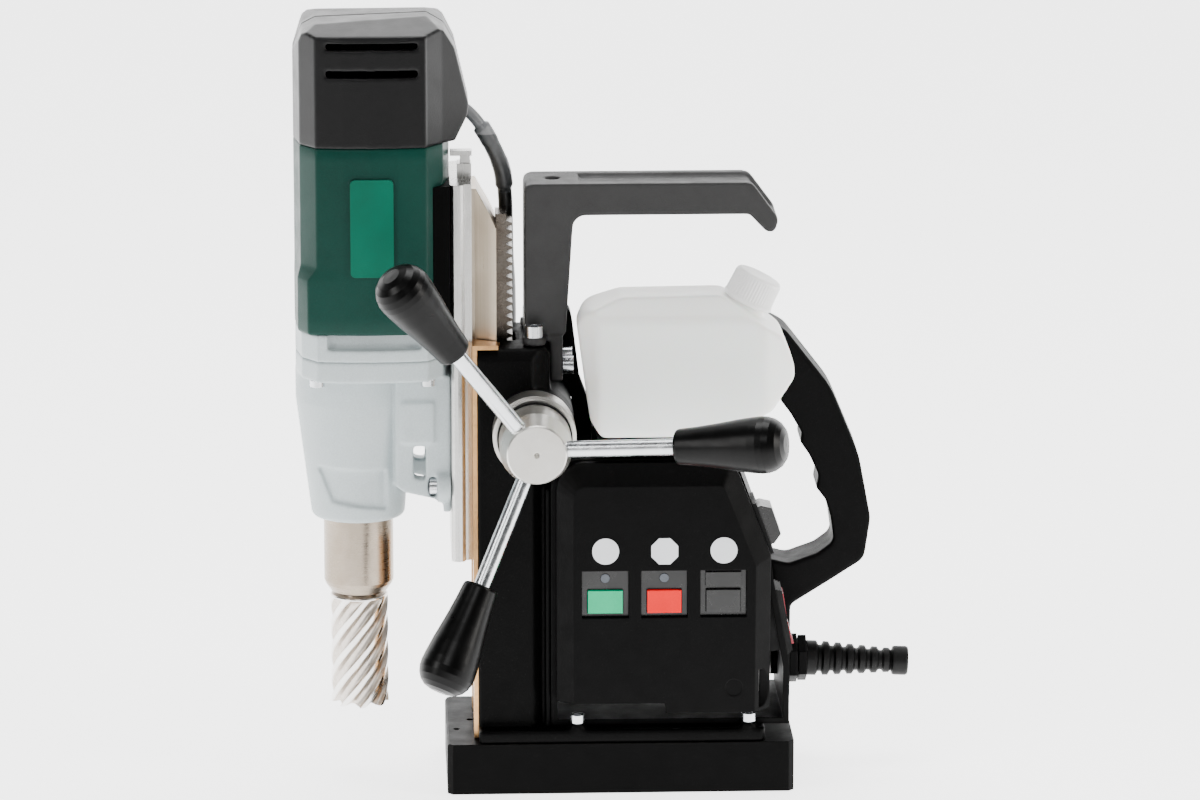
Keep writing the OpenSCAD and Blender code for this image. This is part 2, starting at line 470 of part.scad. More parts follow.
module cap_far() color("#3a3a3c") intersection() { cap_shell(); box([-200, 0.05, 300], [0, 60, 400]); }
module motor_bracket() color("#121212") for (s = [-1, 1]) exz(226, 298.5)
  polygon([for (p = [[-81.25, -8.5], [-84.25, -26.7], [-89.3, -34], [-81.25, -32]]) [p[0], s * p[1]]]);
module gearbox_flange() color("#c8ced0") difference() {
  exz(zm, zt) mplan();
  box([-140, -50, 220.6], [-95, -34.5, 230]);
  cylz(mx, 0, 216, 230, 11);
  cylz(mx, 0, 200, 230, 6);
  cylz(lx, ly, 200, 221, 8);
  for (p = gs) cylz(p[0], p[1], 200, 222, 2.1);
}
gs = [[-145, -30], [-92, -30], [-145, 30], [-92, 30]];
module snout(d) hull() {
  cylz(sx, 0, 132.2, 146, 22.65 - d);
  cylz(sx, 0, 130.7, 132.3, 21.4 - d);
  cylz(-127.6, -1.5, 190, zb + 0.1, 28.2 - d);
  cylz(-116, 18, 184, zb + 0.1, 11.5 - d);
}
module gearbox_housing() color("#c8ced0") difference() {
  union() {
    exz(zb, zm) mplan();
    snout(0);
    // web plates towards the slide
    for (s = [-1, 1]) difference() {
      exy(s > 0 ? 16 : -25, s > 0 ? 25 : -16) polygon([[-108, zb], [-82, zb], [-82, 141], [-87, 143], [-104, 147], [-108, 150]]);
      exy(-60, 60) polygon(rp([[-99.3, 154.1, 1], [-93.4, 152.8, 1], [-93.4, 169.6, 1], [-99.3, 169.6, 1]]));
    }
    for (s = [-1, 1]) exy(s > 0 ? 24.9 : -26.4, s > 0 ? 26.4 : -24.9)
      polygon(rp([[-105, 171.6, 1], [-89.3, 171.6, 1], [-89.3, 191.6, 1.5], [-105, 191.6, 1]]));
    box([-85, -25, 137], [-81.25, 25, zb]);
    for (s = [-1, 1]) cylx(s * 22, 149.5, -88, -81.25, 8);
  }
  // shaped pocket in the front of the nose
  difference() {
    exy(-40, -5) polygon([[-145.4, 159], [-112.4, 157.6], [-112.4, 137], [-117, 138], [-138.5, 141.5]]);
    snout(1.8);
  }
  cylz(lx, ly, 203, 220, 16.8);
  cylz(mx, 0, 203, 220, 6.5);
  cylz(lx, ly, 182, 220, 7.6);
  cylz(lx, ly, 176, 190, 8);
  cylz(sx, 0, 184, 220, 18.8);
  cylz(sx, 0, 120, 200, 13.2);
  cylz(sx, 0, 120, 133.5, 17.5);
  cylz(sx, 0, 133, 145, 18);
  cylz(sx, 0, 174, 184.2, 13.6);
  for (p = gs) cylz(p[0], p[1], 200, 222, 2.1);
  for (s = [-1, 1]) {
    cylx(s * 22, 149.5, -95, -80, 2.6);
    box([-91.9, s > 0 ? 17.2 : -30, 144.6], [-87.95, s > 0 ? 30 : -17.2, 154.4]);
  }
}
module gearbox_screws() color("#c9cdd2") {
  for (p = gs) translate([p[0], p[1], zb]) rotate([180, 0, 0]) cap_screw(2.08, 3.6, 3.2, 16);
  for (s = [-1, 1]) translate([-88, s * 22, 149.5]) rotate([0, -90, 0]) cap_screw(2.58, 4.4, 3.6, 6.7);
}
module bearings() color("#9aa0a6") {
  difference() { cylz(sx, 0, 133, 145, 18); cylz(sx, 0, 120, 150, 12.5 + run); }
  difference() { cylz(sx, 0, 174, 183.5, 13.6); cylz(sx, 0, 170, 190, 10 + run); }
  difference() { cylz(lx, ly, 176, 181.6, 8); cylz(lx, ly, 170, 190, 4 + run); }
  difference() { cylz(lx, ly, 216, 221, 8); cylz(lx, ly, 210, 230, 4 + run); }
  difference() { cylz(mx, 0, 217, 224, 11); cylz(mx, 0, 210, 230, 4.2 + run); }
  difference() { cylz(mx, 0, 310, 316, 8); cylz(mx, 0, 305, 320, 3.5 + run); }
}
module brush_plate() color("#5b5f62") { brush_holders(); difference() {
  box([-143, -14, 315.9], [-94, 14, 369.4]);
  cylz(mx, 0, 315, 317, 8.4);
}
difference() {
  intersection() { exz(308, 316) mplan(0.91); box([-160, -60, 300], [-60, 60, 330]); }
  cylz(mx, 0, 300, 309.5, 6);
  cylz(mx, 0, 309.4, 330, 8);
  for (s = [-1, 1]) box([mx - 16, s > 0 ? 14 : -30, 300], [mx + 16, s > 0 ? 30 : -14, 330]);
} }
module stator() color("#6a5a48") difference() {
  union() { cylz(mx, 0, 242, 282, 33); cylz(mx, 0, 238, 286, 28); }
  cylz(mx, 0, 230, 300, 19);
}
module brush_holders() for (s = [-1, 1]) translate([mx, 0, 0])
  box([s > 0 ? 11.3 : -24, -4, 295], [s > 0 ? 24 : -11.3, 4, 308.1]);
module armature() color("#8b6f55") union() {
  cylz(mx, 0, 213, 314.5, 4.2 - 0.7);
  cylz(mx, 0, 212.6, 240, 4.2);
  cylz(mx, 0, 240, 284, 18.3);
  cylz(mx, 0, 284, 290, 12);
  cylz(mx, 0, 292, 306, 11);
  translate([mx, 0, 206.4]) linear_extrude(6.4) rotate([0, 0, atan2(ly, lx - mx)])
    polygon(gear(0.8, 10, 25, 0.16, 0.85, 1.05));
}
module cooling_fan() color("#2c2c2c") difference() {
  union() {
    cylz(mx, 0, 229.4, 230.9, 29);
    cylz(mx, 0, 229.4, 236.4, 9);
    for (i = [0:8]) translate([mx, 0, 230.8]) rotate([0, 0, 40 * i]) translate([8, -0.8, 0]) cube([20, 1.6, 5.6]);
  }
  cylz(mx, 0, 220, 240, 4.2);
}
la = atan2(ly, lx - sx);   // direction from spindle to layshaft
lb = atan2(ly, lx - mx);   // direction from motor to layshaft
module layshaft() color("#7c8086") union() {
  cylz(lx, ly, 176.4, 220.6, 4);
  translate([lx, ly, 186]) linear_extrude(12.5) rotate([0, 0, la + 180]) polygon(gear(1.1, 10, 25, 0.22, 0.85, 1.05));
  translate([lx, ly, 207]) linear_extrude(5) rotate([0, 0, lb + 180 + 180 / 38]) polygon(gear(0.8, 38, 25, 0.16, 0.85, 1.05));
  cylz(lx, ly, 198.5, 207, 5.5);
}
module output_gear() color("#7c8086") difference() {
  translate([sx, 0, 187]) linear_extrude(10) rotate([0, 0, la + 180 / 30]) polygon(gear(1.1, 30, 25, 0.22, 0.85, 1.05));
  cylz(sx, 0, 180, 200, 9);
}
module spindle() color("#8c8276") difference() {
  union() {
    translate([sx, 0, 92]) rotate_extrude() polygon([[0, 0], [12.6, 0], [13.6, 0.6], [16.2, 4.4], [16.85, 6.2],
      [16.85, 40.6], [0, 40.6]]);
    cylz(sx, 0, 132.5, 174, 12.5);
    cylz(sx, 0, 173.9, 187, 10);
    cylz(sx, 0, 186.9, 199, 9);
  }
  cylz(sx, 0, 90, 126, 9.55);
  cylz(sx, 0, 120, 150, 3.4);
  for (a = [35, 125]) translate([sx, 0, 108]) rotate([0, 0, a]) rotate([0, 90, 0]) cylinder(h = 20, r = 3.4);
}
cr0 = cutter_d / 2;
function flute(r, n) = [for (i = [0:n - 1]) each let(w = 360 / n, a = w * i)
  [[r * cos(a), r * sin(a)], [r * cos(a + w * 0.16), r * sin(a + w * 0.16)],
   [r * 0.9 * cos(a + w * 0.24), r * 0.9 * sin(a + w * 0.24)],
   [r * 0.825 * cos(a + w * 0.4), r * 0.825 * sin(a + w * 0.4)],
   [r * 0.825 * cos(a + w * 0.66), r * 0.825 * sin(a + w * 0.66)],
   [r * 0.89 * cos(a + w * 0.88), r * 0.89 * sin(a + w * 0.88)]]];
module core_cutter() color("#cfc9c0") difference() {
  union() {
    translate([sx, 0, 90.8 - cutter_l]) linear_extrude(cutter_l, twist = -cutter_l * 3.52, slices = 26)
      polygon(flute(cr0, flutes));
    cylz(sx, 0, 90, 125, 9.5);
  }
  cylz(sx, 0, 20, 86, cr0 * 0.66);
  cylz(sx, 0, 20, 130, 3.2);
}

magnet_base();
magnet_coil();
coil_potting();
column();
gib_strips();
gib_screws();
foot_screws();
feed_bushes();
feed_flange();
feed_seal();
carry_handle();
handle_screws();
bottle_bracket();
coolant_bottle();
bottle_cap();
cap_liner();
control_housing();
front_panel();
rear_cover();
cover_screws();
panel_symbols();
switch_modules();
status_leds();
circuit_board();
rear_handle();
switch_bezels();
gland_nut();
strain_relief();
lead_grommet();
motor_lead();
slide_rail();
slide_dovetail();
rack();
stop_plate();
motor_housing();
cap_near();
cap_far();
badge_plate();
motor_bracket();
gearbox_flange();
gearbox_housing();
gearbox_screws();
bearings();
brush_plate();
stator();
armature();
cooling_fan();
layshaft();
spindle();
output_gear();
core_cutter();
feed_shaft();
feed_hub();
lever_rods();
lever_knobs();
green_button();
red_button();
black_button();
magnet_rocker();
top_rocker();
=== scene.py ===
import bpy, bmesh, math, json
import numpy as np
from mathutils import Vector, Matrix

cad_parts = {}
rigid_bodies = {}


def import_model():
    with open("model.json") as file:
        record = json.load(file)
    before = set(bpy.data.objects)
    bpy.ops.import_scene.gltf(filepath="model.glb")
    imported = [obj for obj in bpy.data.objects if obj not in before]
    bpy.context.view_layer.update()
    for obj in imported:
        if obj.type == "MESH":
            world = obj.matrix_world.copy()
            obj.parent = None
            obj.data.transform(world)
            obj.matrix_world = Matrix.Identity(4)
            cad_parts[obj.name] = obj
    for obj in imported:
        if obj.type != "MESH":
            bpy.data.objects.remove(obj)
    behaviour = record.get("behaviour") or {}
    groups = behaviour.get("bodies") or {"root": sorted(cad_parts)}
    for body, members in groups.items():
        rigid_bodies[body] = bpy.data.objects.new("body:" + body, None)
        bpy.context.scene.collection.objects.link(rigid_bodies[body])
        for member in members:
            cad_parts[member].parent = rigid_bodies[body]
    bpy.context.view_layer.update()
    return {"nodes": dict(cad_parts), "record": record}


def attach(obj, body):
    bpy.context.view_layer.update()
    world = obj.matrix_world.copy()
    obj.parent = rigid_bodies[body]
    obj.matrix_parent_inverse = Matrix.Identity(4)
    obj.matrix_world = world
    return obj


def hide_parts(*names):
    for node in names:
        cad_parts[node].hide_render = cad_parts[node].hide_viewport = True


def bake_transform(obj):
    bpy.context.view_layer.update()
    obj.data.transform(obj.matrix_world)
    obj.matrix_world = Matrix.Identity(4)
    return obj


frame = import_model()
MM = 0.001

# ---------------------------------------------------------------- camera
cam_data = bpy.data.cameras.new("camera")
cam_data.sensor_width = 36.0
cam_data.lens = 186.0
cam_data.clip_start, cam_data.clip_end = 0.05, 60.0
cam = bpy.data.objects.new("camera", cam_data)
bpy.context.scene.collection.objects.link(cam)
cam.location = (-0.1257, -2.9172, 0.8922)
cam.rotation_euler = (math.radians(76.4), 0.0, math.radians(-2.3))
bpy.context.scene.camera = cam


def node_obj(name):
    o = frame["nodes"][name]
    return o if hasattr(o, "data") else bpy.data.objects[o if isinstance(o, str) else name]


def new_obj(name, me):
    o = bpy.data.objects.new(name, me)
    bpy.context.scene.collection.objects.link(o)
    return o


# ---------------------------------------------------------------- material kit
class Mat:
    """A procedural material: base colour with mottling, grain bump, roughness map and sharp edges lightened, partly as
    wear and partly as a painted highlight.
    """

    def __init__(self, name):
        self.m = bpy.data.materials.new(name)
        self.m.use_nodes = True
        self.nt = self.m.node_tree
        self.nt.nodes.clear()
        self.out = self.n("ShaderNodeOutputMaterial")
        self.b = self.n("ShaderNodeBsdfPrincipled")
        self.nt.links.new(self.b.outputs[0], self.out.inputs[0])
        self.co = self.n("ShaderNodeTexCoord").outputs["Object"]

    def n(self, kind, **kw):
        node = self.nt.nodes.new(kind)
        for k, v in kw.items():
            setattr(node, k, v)
        return node

    def l(self, a, b):
        self.nt.links.new(a, b)

    def mapped(self, scale=(1, 1, 1), rot=(0, 0, 0), loc=(0, 0, 0)):
        mp = self.n("ShaderNodeMapping")
        mp.inputs["Scale"].default_value = scale
        mp.inputs["Rotation"].default_value = rot
        mp.inputs["Location"].default_value = loc
        self.l(self.co, mp.inputs[0])
        return mp.outputs[0]

    def noise(self, scale, detail=3.0, rough=0.55, vec=None, dist=0.0):
        t = self.n("ShaderNodeTexNoise")
        t.inputs["Scale"].default_value = scale
        t.inputs["Detail"].default_value = detail
        t.inputs["Roughness"].default_value = rough
        t.inputs["Distortion"].default_value = dist
        self.l(vec if vec is not None else self.co, t.inputs["Vector"])
        return t.outputs["Fac"]

    def voronoi(self, scale, vec=None, feature="F1"):
        t = self.n("ShaderNodeTexVoronoi", feature=feature)
        t.inputs["Scale"].default_value = scale
        self.l(vec if vec is not None else self.co, t.inputs["Vector"])
        return t.outputs["Distance"]

    def ramp(self, fac, lo, hi, a=0.0, b=1.0):
        r = self.n("ShaderNodeMapRange")
        r.inputs["From Min"].default_value = lo
        r.inputs["From Max"].default_value = hi
        r.inputs["To Min"].default_value = a
        r.inputs["To Max"].default_value = b
        self.l(fac, r.inputs["Value"])
        return r.outputs[0]

    def mix(self, fac, a, b, kind="MIX"):
        x = self.n("ShaderNodeMix", data_type="RGBA", blend_type=kind)
        for sock, v in ((0, fac), (6, a), (7, b)):
            if isinstance(v, (int, float)):
                x.inputs[sock].default_value = v
            elif isinstance(v, tuple):
                x.inputs[sock].default_value = (*v, 1.0)
            else:
                self.l(v, x.inputs[sock])
        return x.outputs[2]

    def math(self, op, a, b=0.0, clamp=False):
        x = self.n("ShaderNodeMath", operation=op, use_clamp=clamp)
        for i, v in enumerate((a, b)):
            if isinstance(v, (int, float)):
                x.inputs[i].default_value = v
            else:
                self.l(v, x.inputs[i])
        return x.outputs[0]

    def edges(self, radius=0.0006, lo=0.02, hi=0.35):
        """A mask that is 1 along sharp edges."""
        bv = self.n("ShaderNodeBevel", samples=6)
        bv.inputs["Radius"].default_value = radius
        g = self.n("ShaderNodeNewGeometry")
        d = self.n("ShaderNodeVectorMath", operation="DOT_PRODUCT")
        self.l(bv.outputs[0], d.inputs[0])
        self.l(g.outputs["Normal"], d.inputs[1])
        return self.ramp(self.math("SUBTRACT", 1.0, d.outputs["Value"]), lo, hi)

    def bump(self, height, strength, distance, normal=None):
        b = self.n("ShaderNodeBump")
        b.inputs["Strength"].default_value = strength
        b.inputs["Distance"].default_value = distance
        self.l(height, b.inputs["Height"])
        if normal is not None:
            self.l(normal, b.inputs["Normal"])
        return b.outputs[0]

    def rounded(self, radius):
        bv = self.n("ShaderNodeBevel", samples=6)
        bv.inputs["Radius"].default_value = radius
        return bv.outputs[0]

    def set(self, **kw):
        names = {"metal": "Metallic", "rough": "Roughness", "ior": "IOR", "coat": "Coat Weight",
                 "coat_rough": "Coat Roughness", "spec": "Specular IOR Level", "aniso": "Anisotropic",
                 "sss": "Subsurface Weight", "trans": "Transmission Weight", "alpha": "Alpha",
                 "sheen": "Sheen Weight", "sss_scale": "Subsurface Scale"}
        for k, v in kw.items():
            if k == "color":
                self.b.inputs["Base Color"].default_value = (*v, 1.0)
            else:
                self.b.inputs[names[k]].default_value = v
        return self


def plastic(name, color, grain=2600.0, depth=0.00006, rough=(0.42, 0.6), strength=0.35, edge_wear_highlight=None,
            edge_wear_highlight_amount=0.5, mottle=0.12, round_=0.0004, spec=0.5, coat=0.0, dust=0.0):
    k = Mat(name)
    c = tuple(color)
    light = tuple(min(1, v * (1 + mottle) + 0.0003 * mottle) for v in c)
    dark = tuple(v * (1 - mottle) for v in c)
    col = k.mix(k.ramp(k.noise(38.0, 4.0), 0.3, 0.7), dark, light)
    fine = k.noise(grain, 2.0, 0.6)
    col = k.mix(k.ramp(fine, 0.35, 0.75, 0.0, 0.35), col, tuple(min(1, v * 1.5 + 0.0004) for v in c))
    # lighter colour along sharp edges: partly edge wear, partly a painted highlight standing in for rim highlights
    if edge_wear_highlight is not None:
        e = k.edges(0.0005)
        m = k.math("MULTIPLY", k.math("MULTIPLY", e, k.ramp(k.noise(160.0, 5.0, 0.7), 0.4, 0.7)), edge_wear_highlight_amount)
        col = k.mix(m, col, tuple(edge_wear_highlight))
    if dust:
        col = k.mix(k.ramp(k.noise(520.0, 5.0, 0.75), 0.62, 0.8, 0.0, dust), col, (0.35, 0.34, 0.32))
    k.l(col, k.b.inputs["Base Color"])
    k.l(k.ramp(k.noise(90.0, 4.0, 0.6), 0.3, 0.7, *rough), k.b.inputs["Roughness"])
    h = k.math("ADD", k.voronoi(grain), k.math("MULTIPLY", fine, 0.6))
    k.l(k.bump(h, strength, depth, k.rounded(round_)), k.b.inputs["Normal"])
    return k.set(spec=spec, coat=coat)


def metal(name, color, rough=(0.2, 0.34), streak=(1, 1, 1), streak_scale=260.0, streak_depth=0.00002,
          strength=0.25, tint=None, tint_amount=0.5, dirt=0.0, dirt_color=(0.05, 0.04, 0.03),
          round_=0.0003, aniso=0.0, pits=0.0, scratch=0.0):
    k = Mat(name)
    c = tuple(color)
    v = k.mapped(streak)
    s = k.noise(streak_scale, 6.0, 0.65, v)
    col = k.mix(k.ramp(s, 0.3, 0.7), tuple(x * 0.86 for x in c), tuple(min(1, x * 1.08) for x in c))
    if tint is not None:
        col = k.mix(k.ramp(k.noise(46.0, 5.0, 0.65, dist=0.6), 0.42, 0.72, 0.0, tint_amount), col, tuple(tint))
    if dirt:
        e = k.ramp(k.noise(330.0, 6.0, 0.7), 0.5, 0.72, 0.0, dirt)
        col = k.mix(e, col, tuple(dirt_color))
    k.l(col, k.b.inputs["Base Color"])
    r = k.math("ADD", k.ramp(s, 0.25, 0.75, *rough), k.ramp(k.noise(70.0, 3.0), 0.3, 0.8, -0.03, 0.06))
    k.l(r, k.b.inputs["Roughness"])
    h = s
    if pits:
        h = k.math("ADD", s, k.math("MULTIPLY", k.voronoi(1500.0), pits))
    if scratch:
        h = k.math("ADD", h, k.math("MULTIPLY", k.noise(900.0, 2.0, 0.5, k.mapped((1, 1, 0.04), (0.5, 0.3, 0.2))), scratch))
    k.l(k.bump(h, strength, streak_depth, k.rounded(round_)), k.b.inputs["Normal"])
    return k.set(metal=1.0, aniso=aniso)


M = {}
# the edge colours given below lighten sharp edges: partly wear, partly a painted highlight
M["magnet_steel"] = plastic("magnet_steel", (0.0004, 0.0004, 0.0004), 1500, 0.00005, (0.36, 0.5), 0.3,
                            edge_wear_highlight=(0.07, 0.065, 0.06), edge_wear_highlight_amount=0.45, dust=0.004, round_=0.0006, spec=0.05)
M["black_casting"] = plastic("black_casting", (0.0003, 0.0003, 0.0003), 1100, 0.00013, (0.38, 0.52), 0.5,
                             edge_wear_highlight=(0.04, 0.038, 0.035), edge_wear_highlight_amount=0.25, round_=0.0012, spec=0.06)
M["black_plastic"] = plastic("black_plastic", (0.0004, 0.0004, 0.00045), 1900, 0.0001, (0.42, 0.56), 0.42,
                             edge_wear_highlight=(0.04, 0.038, 0.035), edge_wear_highlight_amount=0.25, round_=0.0009, spec=0.07)
M["handle_plastic"] = plastic("handle_plastic", (0.010, 0.0098, 0.010), 1700, 0.00012, (0.5, 0.66), 0.5,
                              edge_wear_highlight=(0.12, 0.12, 0.12), edge_wear_highlight_amount=0.25, round_=0.0008)
M["cap_plastic"] = plastic("cap_plastic", (0.0010, 0.0010, 0.0012), 1800, 0.0001, (0.3, 0.4), 0.4,
                           edge_wear_highlight=(0.05, 0.05, 0.052), edge_wear_highlight_amount=0.3, round_=0.0012, spec=0.24)
M["green_plastic"] = plastic("green_plastic", (0.0003, 0.030, 0.0215), 1900, 0.0001, (0.32, 0.44), 0.38,
                             edge_wear_highlight=(0.02, 0.13, 0.1), edge_wear_highlight_amount=0.35, round_=0.0015, spec=0.16)
M["green_plate"] = plastic("green_plate", (0.0001, 0.092, 0.056), 2600, 0.00004, (0.3, 0.4), 0.2, round_=0.0003, spec=0.12)
M["black_sheet"] = plastic("black_sheet", (0.0003, 0.0003, 0.0003), 1400, 0.00005, (0.5, 0.65), 0.3,
                           edge_wear_highlight=(0.03, 0.03, 0.03), edge_wear_highlight_amount=0.3, round_=0.0004, spec=0.04)
M["black_rubber"] = plastic("black_rubber", (0.0006, 0.0006, 0.0006), 2400, 0.00004, (0.42, 0.6), 0.3, round_=0.0003, spec=0.2)
M["potting"] = plastic("potting", (0.02, 0.02, 0.02), 700, 0.0002, (0.35, 0.6), 0.4)
M["board"] = plastic("board", (0.01, 0.09, 0.035), 900, 0.00005, (0.3, 0.5), 0.3)
M["fan_plastic"] = plastic("fan_plastic", (0.02, 0.02, 0.02), 1900, 0.00006, (0.4, 0.6), 0.3)
M["gloss_black"] = plastic("gloss_black", (0.0004, 0.0004, 0.0004), 1500, 0.00002, (0.27, 0.35), 0.14,
                           mottle=0.3, round_=0.0002, spec=0.15)
M["black_key"] = plastic("black_key", (0.0007, 0.0007, 0.0008), 2600, 0.00003, (0.22, 0.36), 0.15, round_=0.0004)
M["green_key"] = plastic("green_key", (0.0005, 0.42, 0.19), 2600, 0.00003, (0.28, 0.4), 0.15, round_=0.0005, spec=0.15)
M["red_key"] = plastic("red_key", (0.80, 0.006, 0.006), 2600, 0.00003, (0.28, 0.4), 0.15, round_=0.0005, spec=0.15)
M["red_rocker"] = plastic("red_rocker", (0.32, 0.006, 0.02), 2600, 0.00003, (0.2, 0.34), 0.15, round_=0.0005)
M["white_print"] = plastic("white_print", (0.68, 0.70, 0.73), 3000, 0.00001, (0.35, 0.5), 0.1, mottle=0.04, round_=0.0001)
M["white_plastic"] = plastic("white_plastic", (0.94, 0.94, 0.93), 2400, 0.00003, (0.3, 0.45), 0.2, mottle=0.03, round_=0.0003)
M["light_casting"] = plastic("light_casting", (0.43, 0.485, 0.495), 1500, 0.00009, (0.34, 0.48), 0.35,
                             edge_wear_highlight=(0.66, 0.68, 0.68), edge_wear_highlight_amount=0.25, mottle=0.05, round_=0.0014, spec=0.45)
M["zinc_steel"] = metal("zinc_steel", (0.74, 0.76, 0.78), (0.16, 0.3), (1, 1, 1), 180.0, 0.00002, 0.2,
                        tint=(0.62, 0.66, 0.72), tint_amount=0.3, round_=0.0004)
M["machined_alloy"] = metal("machined_alloy", (0.66, 0.645, 0.61), (0.24, 0.38), (0.12, 8, 0.12), 420.0, 0.00003,
                            0.35, tint=(0.55, 0.52, 0.46), tint_amount=0.35, round_=0.0004)
M["ground_steel"] = metal("ground_steel", (0.56, 0.555, 0.54), (0.2, 0.34), (9, 9, 0.12), 110.0, 0.00005, 0.45,
                          tint=(0.42, 0.405, 0.385), tint_amount=0.3, round_=0.0003, scratch=0.3)
M["worn_steel"] = metal("worn_steel", (0.50, 0.43, 0.345), (0.26, 0.42), (14, 14, 0.06), 170.0, 0.00002, 0.3,
                        tint=(0.36, 0.29, 0.21), tint_amount=0.3, round_=0.0003)
M["dark_steel"] = metal("dark_steel", (0.13, 0.115, 0.10), (0.16, 0.42), (2, 2, 2), 300.0, 0.0001, 0.6,
                        tint=(0.08, 0.06, 0.045), tint_amount=0.8, dirt=0.7, round_=0.0002, pits=0.5)
M["bronze"] = metal("bronze", (0.62, 0.36, 0.16), (0.24, 0.42), (4, 4, 0.4), 200.0, 0.00004, 0.4,
                    tint=(0.42, 0.2, 0.08), tint_amount=0.6, dirt=0.25, round_=0.0003)
M["bearing_steel"] = metal("bearing_steel", (0.6, 0.61, 0.62), (0.15, 0.25))
M["laminations"] = metal("laminations", (0.25, 0.21, 0.18), (0.4, 0.6), (0.2, 0.2, 12), 400.0, 0.0001, 0.6)
M["copper_winding"] = metal("copper_winding", (0.55, 0.22, 0.1), (0.3, 0.45), (0.3, 0.3, 10), 300.0, 0.0001, 0.7)
M["gear_steel"] = metal("gear_steel", (0.45, 0.45, 0.46), (0.25, 0.4), dirt=0.3)
M["burnished_steel"] = metal("burnished_steel", (0.36, 0.305, 0.245), (0.22, 0.36), (0.3, 0.3, 5), 420.0, 0.00002, 0.3,
                             tint=(0.22, 0.17, 0.12), tint_amount=0.5, round_=0.0005)
M["tool_steel"] = metal("tool_steel", (0.74, 0.71, 0.67), (0.18, 0.34), (3, 3, 1), 240.0, 0.00002, 0.3,
                        tint=(0.42, 0.30, 0.2), tint_amount=0.55, round_=0.0003)
M["bottle_plastic"] = plastic("bottle_plastic", (0.92, 0.905, 0.865), 1400, 0.00004, (0.3, 0.42), 0.15, mottle=0.03,
                              round_=0.0012, spec=0.5)
# painted glow: a faint white emission brightens the bottle beyond its lighting, standing in for light passing through
# the plastic
M["bottle_plastic"].b.inputs["Emission Color"].default_value = (1.0, 0.98, 0.93, 1.0)
M["bottle_plastic"].b.inputs["Emission Strength"].default_value = 0.10
M["bottle_plastic"].set(sss=0.2, sss_scale=0.006)
M["cable_jacket"] = plastic("cable_jacket", (0.008, 0.008, 0.008), 1900, 0.00004, (0.3, 0.45), 0.3)
M["lamp_lens"] = plastic("lamp_lens", (0.055, 0.065, 0.08), 900, 0.00001, (0.15, 0.25), 0.05, round_=0.0003)

slots = {}
for s in frame["record"]["subparts"]:
    slots[s["node"]] = s["material_slot"]
for name, slot_name in slots.items():
    if slot_name in M:
        o = node_obj(name)
        o.data.materials.clear()
        o.data.materials.append(M[slot_name].m)


# burnished flutes: bright lands, brownish hollows
MX = {}
k = Mat("cutter_steel")
geo = k.n("ShaderNodeSeparateXYZ"); k.l(k.co, geo.inputs[0])
dx = k.math("ADD", geo.outputs["X"], 0.126)
rr = k.math("SQRT", k.math("ADD", k.math("MULTIPLY", dx, dx), k.math("MULTIPLY", geo.outputs["Y"], geo.outputs["Y"])))
land = k.ramp(rr, 0.0132, 0.0138)
s = k.noise(260.0, 6.0, 0.65, k.mapped((3, 3, 1)))
hollow = k.mix(k.ramp(s, 0.3, 0.7), (0.52, 0.46, 0.40), (0.68, 0.63, 0.575))
bright = k.mix(k.ramp(s, 0.3, 0.7), (0.80, 0.78, 0.75), (0.92, 0.90, 0.87))
k.l(k.mix(land, hollow, bright), k.b.inputs["Base Color"])
k.l(k.math("ADD", k.ramp(land, 0, 1, 0.3, 0.2), k.ramp(k.noise(120.0, 4.0), 0.3, 0.7, -0.04, 0.06)), k.b.inputs["Roughness"])
k.l(k.bump(k.noise(900.0, 3.0, 0.6, k.mapped((1, 1, 6))), 0.3, 0.00003, k.rounded(0.00015)), k.b.inputs["Normal"])
k.set(metal=1.0)
MX["cutter"] = k
CAP_H = 15
SOFT = [("gearbox_housing", 0.75, 8), ("gearbox_flange", 0.6, 6), ("cap_near", 0.6, 7), ("cap_far", 0.6, 7),
        ("column", 1.0, 6), ("carry_handle", 0.8, 8), ("coolant_bottle", 0.9, 26), ("rear_handle", 0.8, 6)]

# ---------------------------------------------------------------- motor lead (a cord held at both ends)
LEAD = [(-78, 0, 333), (-72, 0, 329), (-66, 0.5, 322), (-60, 3, 311), (-55.5, 7, 299), (-54, 11, 286),
        (-53.5, 13.5, 272), (-53, 19, 254), (-52, 28, 238), (-51.5, 37, 224), (-51, 43.5, 207), (-47, 49, 190),
        (-39, 53, 174), (-29, 55.5, 160.5), (-19.5, 55.5, 150.5), (-12.5, 52.5, 144.2), (-9, 47, 141),
        (-8, 40.5, 140), (-8, 33, 140)]


def spline(P, k):
    P = [np.array(p, float) for p in P]
    n = len(P)
    out = []
    for i in range(n - 1):
        a, b, c, d = P[max(i - 1, 0)], P[i], P[i + 1], P[min(i + 2, n - 1)]
        for j in range(k):
            t = j / k
            out.append(0.5 * (2 * b + (c - a) * t + (2 * a - 5 * b + 4 * c - d) * t * t
                              + (3 * b - a - 3 * c + d) * t ** 3))
    out.append(P[-1])
    return np.array(out)


